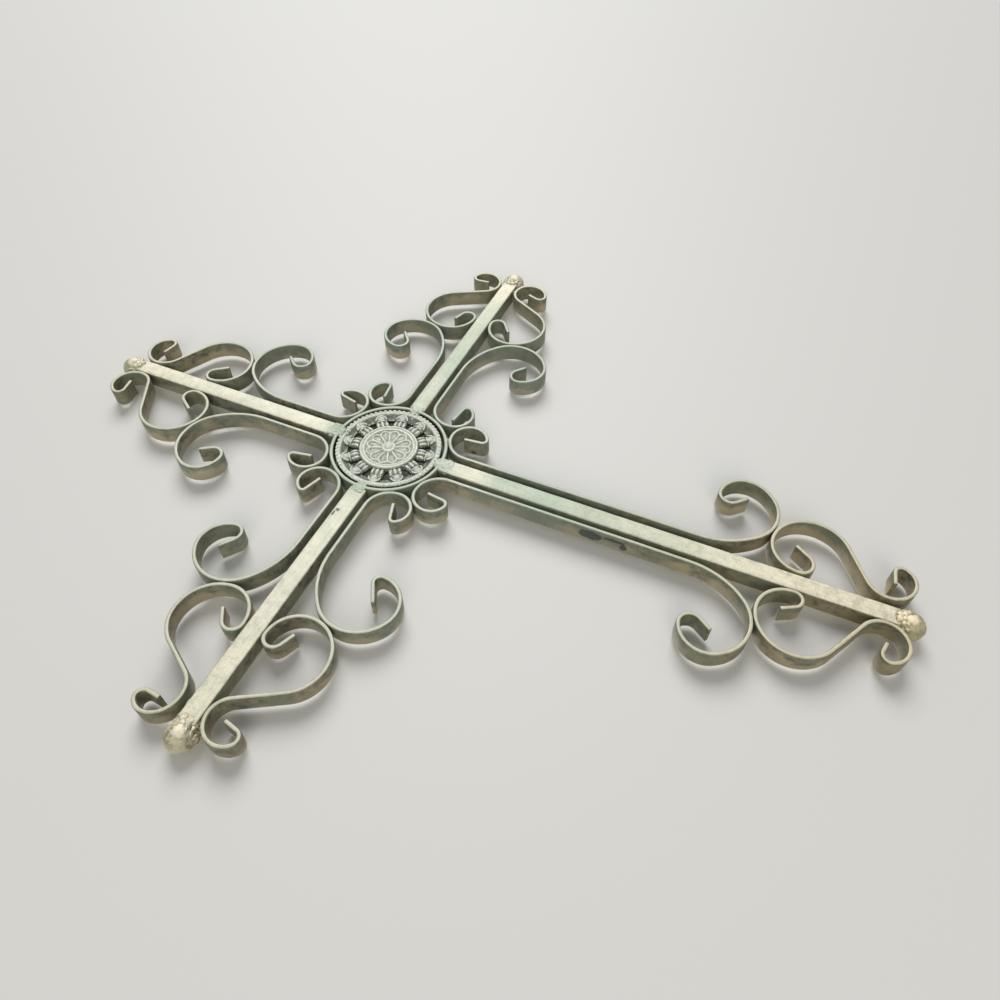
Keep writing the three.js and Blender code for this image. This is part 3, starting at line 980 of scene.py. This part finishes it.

# %% [markdown]
# ## Painted shade in the gap
# The narrow gap between the hoop and the casting is deep, so its walls are painted near
# black below the front edge as shade, which makes the casting stand out from the hoop. A
# scale of zero along Y makes the length of the vector a radius.

# %% The group for the painted shade in the gap
GAP_INNER = (36 * MM, 36.5 * MM)
GAP_OUTER = (39 * MM, 38.5 * MM)
tree, takes = group("sooty gap", {"Vector": VECTOR}, {"Mask": FLOAT})
place = takes["Vector"]
flat = add(tree, "ShaderNodeMapping",
           {"Vector": place, "Location": (0, 0, -CENTRE_Z), "Scale": (1, 0, 1)})
reach = size_of(tree, flat.outputs["Vector"])
below = between(tree, part(tree, place, "Y"), -12.3 * MM, -11.3 * MM)
gap_mask = times(tree, band(tree, reach, GAP_INNER, GAP_OUTER), below)
hand_out(tree, {"Mask": gap_mask})

# %% [markdown]
# ## Flaked places
# In a few places the paint has flaked off and left a dark patch. The Mapping node moves a
# patch's middle to zero and divides by its size, so that the length of the vector grows
# outwards. Noise is added to make the outline ragged, and the patch is where the sum is small.

# %% The group for one flaked patch
tree, takes = group(
    "flaked patch", {"Vector": VECTOR, "Move": VECTOR, "Stretch": VECTOR}, {"Mask": FLOAT})
place = takes["Vector"]
around = add(tree, "ShaderNodeMapping",
             {"Vector": place, "Location": takes["Move"], "Scale": takes["Stretch"]})
from_middle = size_of(tree, around.outputs["Vector"])
ragged = add(tree, "ShaderNodeMath",
             {0: from_middle, 1: grain(tree, place, 480, 4, 0.7)}).outputs[0]
hand_out(tree, {"Mask": between(tree, ragged, 1.45, 1.35)})

# %% [markdown]
# ## Depth in the casting
# Nobody can rub the bottom of a casting, so its hollows keep their dark wax. They are also
# painted darker as shade. Its high parts turn pale, partly as wear and partly as a painted
# highlight. Depth is simply the Y coordinate, and faces that look backwards are left out.
# Pointiness, which
# Cycles measures at each vertex, adds thin dark lines of painted shade in the corners. It also
# adds pale lines on the ribs, partly wear and partly a painted highlight.

# %% The group for hollows and ridges
tree, takes = group(
    "hollows and ridges", {"Vector": VECTOR, "Bottom": FLOAT, "Top": FLOAT},
    {"Hollow": FLOAT, "Ridge": FLOAT})
place = takes["Vector"]
depth = part(tree, place, "Y")
deep = between(tree, depth, takes["Top"], takes["Bottom"])
front = between(tree, part(tree, surface(tree, "Normal"), "Y"), 0.6, 0.2)
sharp = surface(tree, "Pointiness")
creased = times(tree, between(tree, sharp, 0.49, 0.44), 0.75)
hollow = larger(tree, times(tree, deep, front), creased)
ridged = between(tree, sharp, 0.505, 0.53)
high = times(tree, between(tree, depth, -10.5 * MM, -12 * MM), 0.8)
stirred = times(tree, grain(tree, place, 500), 0.5)
ridge = maths(tree, "SUBTRACT", larger(tree, ridged, high), stirred)
hand_out(tree, {"Hollow": hollow, "Ridge": ridge})

# %% [markdown]
# ## Iron finishes
# Every finish is the patina in its own colours. It is made paler where the mask of worn and lit
# faces says so, partly as wear and partly as a painted highlight, and warmer towards the foot.
# A table describes the plain finish, and the others only name what differs. Colours are written
# as on a colour chart, from 0 to 255, and then converted.

# %% Colours and the plain finish
def colour(red, green, blue):
    """An sRGB colour as the linear values that a shader wants."""
    parts = [value / 255 for value in (red, green, blue)]
    return [c / 12.92 if c < 0.04045 else ((c + 0.055) / 1.055) ** 2.4 for c in parts] + [1]


CREAM = colour(218, 214, 194)
STRAW = colour(230, 219, 190)
AMBER = colour(250, 232, 200)
TAN_BACK = colour(194, 182, 154)
COOL = colour(116, 128, 116)
COOL_WORN_AND_HIGHLIT = colour(164, 177, 158)
# The near-black colour below is painted shade for the gap between the hoop and the casting.
GAP_SHADE = colour(22, 22, 20)
BARE = colour(62, 66, 64)
# The bright colour for faces that look forwards or backwards is partly wear and partly a
# painted highlight.
PLAIN = {
    "light": colour(146, 143, 122), "dark": colour(60, 60, 50), "bloom": colour(128, 140, 126),
    "flecks": 0.4, "rubbed": colour(194, 195, 178), "warm": colour(208, 196, 162),
    "reach": 0.25, "breaks": 0.35, "rub_share": 1, "mottle": 0.2, "tan": 0, "bump": 0.25,
    "scratch": None, "cast": False, "gap": False, "flakes": (),
}


def use(tree, name, inputs):
    """Places a node group in a material."""
    inner = bpy.data.node_groups[name]
    return add(tree, "ShaderNodeGroup", inputs, node_tree=inner).outputs


# %% [markdown]
# The paint is the ground colour with its tints. Worn faces, and faces with a painted
# highlight, show a second, brighter colour, which has tints of its own and keeps a little of
# the dark in its pores.

# %% Paint and rubbed edges
def painted(tree, place, look):
    """The painted colour, paler where it is worn and where a highlight is painted on, and the
    patina's outputs.
    """
    patina = use(tree, "patina", {"Vector": place, "Light": look["light"],
                                     "Dark": look["dark"], "Bloom": look["bloom"],
                                     "Flecks": look["flecks"]})
    rub = use(tree, "rubbed edges", {"Vector": place, "Reach": look["reach"],
                               "Breaks": look["breaks"]})["Mask"]
    tint = use(tree, "tints", {"Vector": place})
    ground = mixed(tree, times(tree, tint["Cool"], 0.6), patina["Color"], COOL)
    if look["tan"]:
        backs = use(tree, "tan backs", {"Vector": place})["Mask"]
        ground = mixed(tree, times(tree, backs, look["tan"]), ground, TAN_BACK)
    ground = mixed(tree, tint["Warm"], ground, AMBER, "MULTIPLY")
    bright = mixed(tree, tint["Cool"], look["rubbed"], COOL_WORN_AND_HIGHLIT)
    bright = mixed(tree, tint["Warm"], bright, look["warm"])
    pores = times(tree, patina["Height"], look["mottle"])
    bright = mixed(tree, pores, bright, look["dark"])
    # Faces that look forwards or backwards take the bright colour. Part of it is wear, and part
    # is a painted highlight where they face the light.
    return mixed(tree, times(tree, rub, look["rub_share"]), ground, bright), patina


# %% [markdown]
# Some finishes carry marks on top. The bars have fine scratches, which are noise that a
# Mapping node stretches along one axis. The casting has painted shade in its hollows and a
# pale colour on its ridges, partly wear and partly a painted highlight. The gap has painted
# shade on its walls, and a flaked patch is given by its middle and size.

# %% Marks on top of the paint
CAST_DEPTHS = {"Bottom": -7.5 * MM, "Top": -10.6 * MM}


def marked(tree, place, look, base, height):
    """The colour and the height with the marks that the finish asks for."""
    if look["scratch"]:
        drawn = add(tree, "ShaderNodeMapping", {"Vector": place, "Scale": look["scratch"]})
        lines = between(tree, grain(tree, drawn.outputs["Vector"], 1, 3, 0.7), 0.5, 0.72)
        base = mixed(tree, times(tree, lines, 0.3), base, look["light"])
        height = maths(tree, "SUBTRACT", height, times(tree, lines, 0.5))
    if look["cast"]:
        # Painted shade darkens the hollows and creases of the casting. Its ridges and high
        # parts take the bright colour, partly wear and partly a painted highlight.
        form = use(tree, "hollows and ridges", {"Vector": place, **CAST_DEPTHS})
        base = mixed(tree, times(tree, form["Hollow"], 0.9), base, look["dark"])
        base = mixed(tree, form["Ridge"], base, look["rubbed"])
    # Painted shade: the walls of the narrow gap between hoop and casting are painted near black
    # below the front edge.
    if look["gap"]:
        gap_shade = use(tree, "sooty gap", {"Vector": place})["Mask"]
        base = mixed(tree, times(tree, gap_shade, 0.92), base, GAP_SHADE)
    for middle, size in look["flakes"]:
        stretch = [1 / (c * MM) for c in size]
        move = [-m * MM * s for m, s in zip(middle, stretch)]
        bare = use(tree, "flaked patch", {"Vector": place, "Move": move, "Stretch": stretch})
        base = mixed(tree, times(tree, bare["Mask"], 0.85), base, BARE)
    return base, height


# %% [markdown]
# The shader is the same for all. Metallic is low, because the light falls on old paint and
# wax more than on bare iron, and a Bump node turns the height into small shadows.

# %% The finished iron
METALLIC = 0.3
BUMP_DEPTH = 0.3 * MM


def new_material(name):
    material = bpy.data.materials.new(name)
    material.use_nodes = True
    material.node_tree.nodes.clear()
    return material


def iron(name, **changes):
    """A patinated iron that is plain except for the changes."""
    look = {**PLAIN, **changes}
    material = new_material(name)
    tree = material.node_tree
    place = add(tree, "ShaderNodeTexCoord").outputs["Object"]
    base, patina = painted(tree, place, look)
    base, height = marked(tree, place, look, base, patina["Height"])
    relief = add(tree, "ShaderNodeBump", {"Height": height, "Strength": look["bump"],
                                          "Distance": BUMP_DEPTH})
    shader = add(tree, "ShaderNodeBsdfPrincipled", {
        "Base Color": base, "Roughness": patina["Roughness"], "Metallic": METALLIC,
        "Normal": relief.outputs["Normal"]})
    add(tree, "ShaderNodeOutputMaterial", {"Surface": shader.outputs["BSDF"]})
    return material


# %% [markdown]
# Flaked patches are given in millimetres in the frame, the middle and then half the size.
# The scroll iron has three that run into each other on the long arm's left strip. Each
# piece gets the finish of the first row whose word its name starts with.

# %% Mix the finishes
SCROLL_FLAKES = [
    ((-12.4, -6.8, -190), (4, 4.4, 9)),
    ((-12.4, -8.6, -206), (4, 1.6, 8)),
    ((-12.4, -5, -212), (4, 3.2, 2.6)),
    ((28.4, -2.2, -90.5), (2.5, 2.4, 2.2)),
]
BAR_FLAKES = [
    ((-65.9, -12, -35.4), (2.6, 2, 0.9)),
    ((-62.3, -12, -36.6), (1.2, 2, 1.5)),
]
BAR = {"rubbed": CREAM, "warm": STRAW, "tan": 0.3, "mottle": 0.45}
bar_across = iron("bar iron across", scratch=(18, 1300, 1300), flakes=BAR_FLAKES, **BAR)
ball_iron = iron("ball iron", light=colour(208, 206, 184), dark=colour(118, 110, 86),
                 bloom=colour(192, 196, 172), rubbed=CREAM, warm=colour(244, 222, 186),
                 reach=0.7, breaks=0.4, bump=0.5, flecks=0.3, mottle=0.3)
FINISHES = [
    ("rosette", iron("rosette iron", light=colour(168, 172, 154), dark=colour(40, 40, 34),
                     rubbed=colour(240, 244, 230), reach=0.5, breaks=0.9, rub_share=0.45,
                     bump=0.9, flecks=0.9, mottle=0.45, cast=True, gap=True)),
    ("hoop", iron("hoop iron", breaks=0.4, rub_share=0.9, gap=True)),
    ("ball", ball_iron),
    ("weld_ball", ball_iron),
    ("weld_hoop", iron("weld iron", light=colour(202, 208, 192), dark=colour(96, 102, 90),
                       bloom=colour(190, 202, 188), rubbed=colour(222, 226, 210),
                       warm=STRAW, reach=0.3, breaks=0.6, bump=0.8, flecks=0.6)),
    ("bar_left", bar_across),
    ("bar_right", bar_across),
    ("bar", iron("bar iron upright", scratch=(1300, 1300, 18), **BAR)),
    ("", iron("scroll iron", breaks=0.55, rub_share=0.9, tan=0.65, flakes=SCROLL_FLAKES)),
]
for piece in finished:
    finish = next(made for start, made in FINISHES if piece.name.startswith(start))
    piece.data.materials.append(finish)
print("finishes:", len(bpy.data.materials))

# %% [markdown]
# ## The surface it lies on
# The cross lies on its balls, so its strips are nearly three millimetres clear of a plain
# pale surface. Backfacing makes that surface see-through from behind, where it would block
# the view, and Light Path lets the light of the lamp behind the cross through it.

# %% The pale surface
SURFACE_REACH = 60
back_of_balls = max(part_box(f"ball_{arm}")[1].y for arm in ARMS)
bm = bmesh.new()
bmesh.ops.create_grid(bm, x_segments=1, y_segments=1, size=SURFACE_REACH)
bmesh.ops.rotate(bm, verts=bm.verts, matrix=Matrix.Rotation(QUARTER, 3, "X"))
bmesh.ops.translate(bm, verts=bm.verts, vec=(0, back_of_balls + 0.1 * MM, CENTRE_Z))
floor = new_object("pale_surface", to_mesh(bm, "pale_surface"))
floor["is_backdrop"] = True

floor_finish = new_material("pale surface")
tree = floor_finish.node_tree
matt = add(tree, "ShaderNodeBsdfPrincipled", {"Base Color": colour(198, 197, 193),
                                              "Roughness": 0.55})
clear = add(tree, "ShaderNodeBsdfTransparent")
shadow = add(tree, "ShaderNodeLightPath").outputs["Is Shadow Ray"]
open_side = larger(tree, surface(tree, "Backfacing"), shadow)
either = add(tree, "ShaderNodeMixShader", {0: open_side, 1: matt.outputs["BSDF"],
                                           2: clear.outputs["BSDF"]})
add(tree, "ShaderNodeOutputMaterial", {"Surface": either.outputs["Shader"]})
floor.data.materials.append(floor_finish)
print("surface faces", tuple(round(c) for c in floor.data.polygons[0].normal))

# %% [markdown]
# ## Light
# The main light comes from beyond the cross, as from a window, a weaker one fills in from
# the near side, and a third lights the back. Wide sun lamps give soft shadows and light the
# surface evenly, however far a view reaches. The world is an even pale grey.

# %% Lamps and world
LAMP_WIDTH = math.radians(38)


def soft_light(name, place, strength, tint=(1, 1, 1)):
    """A wide sun lamp that shines from the place towards the middle of the cross."""
    data = bpy.data.lights.new(name, "SUN")
    data.angle = LAMP_WIDTH
    data.energy = strength
    data.color = tint
    lamp = new_object(name, data)
    lamp.location = place
    lamp.rotation_mode = "QUATERNION"
    lamp.rotation_quaternion = (-Vector(place)).to_track_quat("-Z", "Y")


soft_light("window", (2.4, -2.8, 1.3), 2.45)
soft_light("fill", (-3.2, -2.2, -1.4), 1.2, (1, 0.95, 0.86))
soft_light("behind", (0.5, 2.6, 0.8), 1.25)
world = bpy.data.worlds.new("studio")
world.use_nodes = True
sky = world.node_tree.nodes["Background"].inputs
sky["Color"].default_value = (0.86, 0.88, 0.9, 1)
sky["Strength"].default_value = 0.45
scene.world = world
scene.view_settings.view_transform = "Standard"

# %% [markdown]
# ## Camera
# The photograph was taken from beside the foot arm, looking down at the cross at about
# fifty degrees. The ring, the arms and the touching points gave the place, direction and
# lens.

# %% The photograph's camera
VIEW_RIGHT = Vector((0.39907, -0.00846, -0.91688))
VIEW_UP = Vector((0.69796, -0.64569, 0.30974))
VIEW_AHEAD = Vector((0.59464, 0.76355, 0.25177))
CAMERA_PLACE = (-0.29962, -0.3802, -0.24962)
LENS = 26.81
SENSOR_WIDTH = 36
camera = new_object("camera", bpy.data.cameras.new("camera"))
camera.data.sensor_width = SENSOR_WIDTH
camera.data.lens = LENS
camera.data.clip_start = 0.01
turn = Matrix((VIEW_RIGHT, VIEW_UP, -VIEW_AHEAD)).transposed()
camera.matrix_world = Matrix.Translation(CAMERA_PLACE) @ turn.to_4x4()
scene.camera = camera
print("camera", round(Vector(CAMERA_PLACE).length, 2), "m from the origin")

# %% [markdown]
# The boxes of the CAD model and of the pieces made here are printed. The pieces made
# here must not grow past the CAD model.

# %% Print the sizes
visual_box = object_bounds()
for name, corners in (("CAD", cad_box), ("visual", visual_box)):
    print(name, [[round(c / MM, 2) for c in corner] for corner in corners])
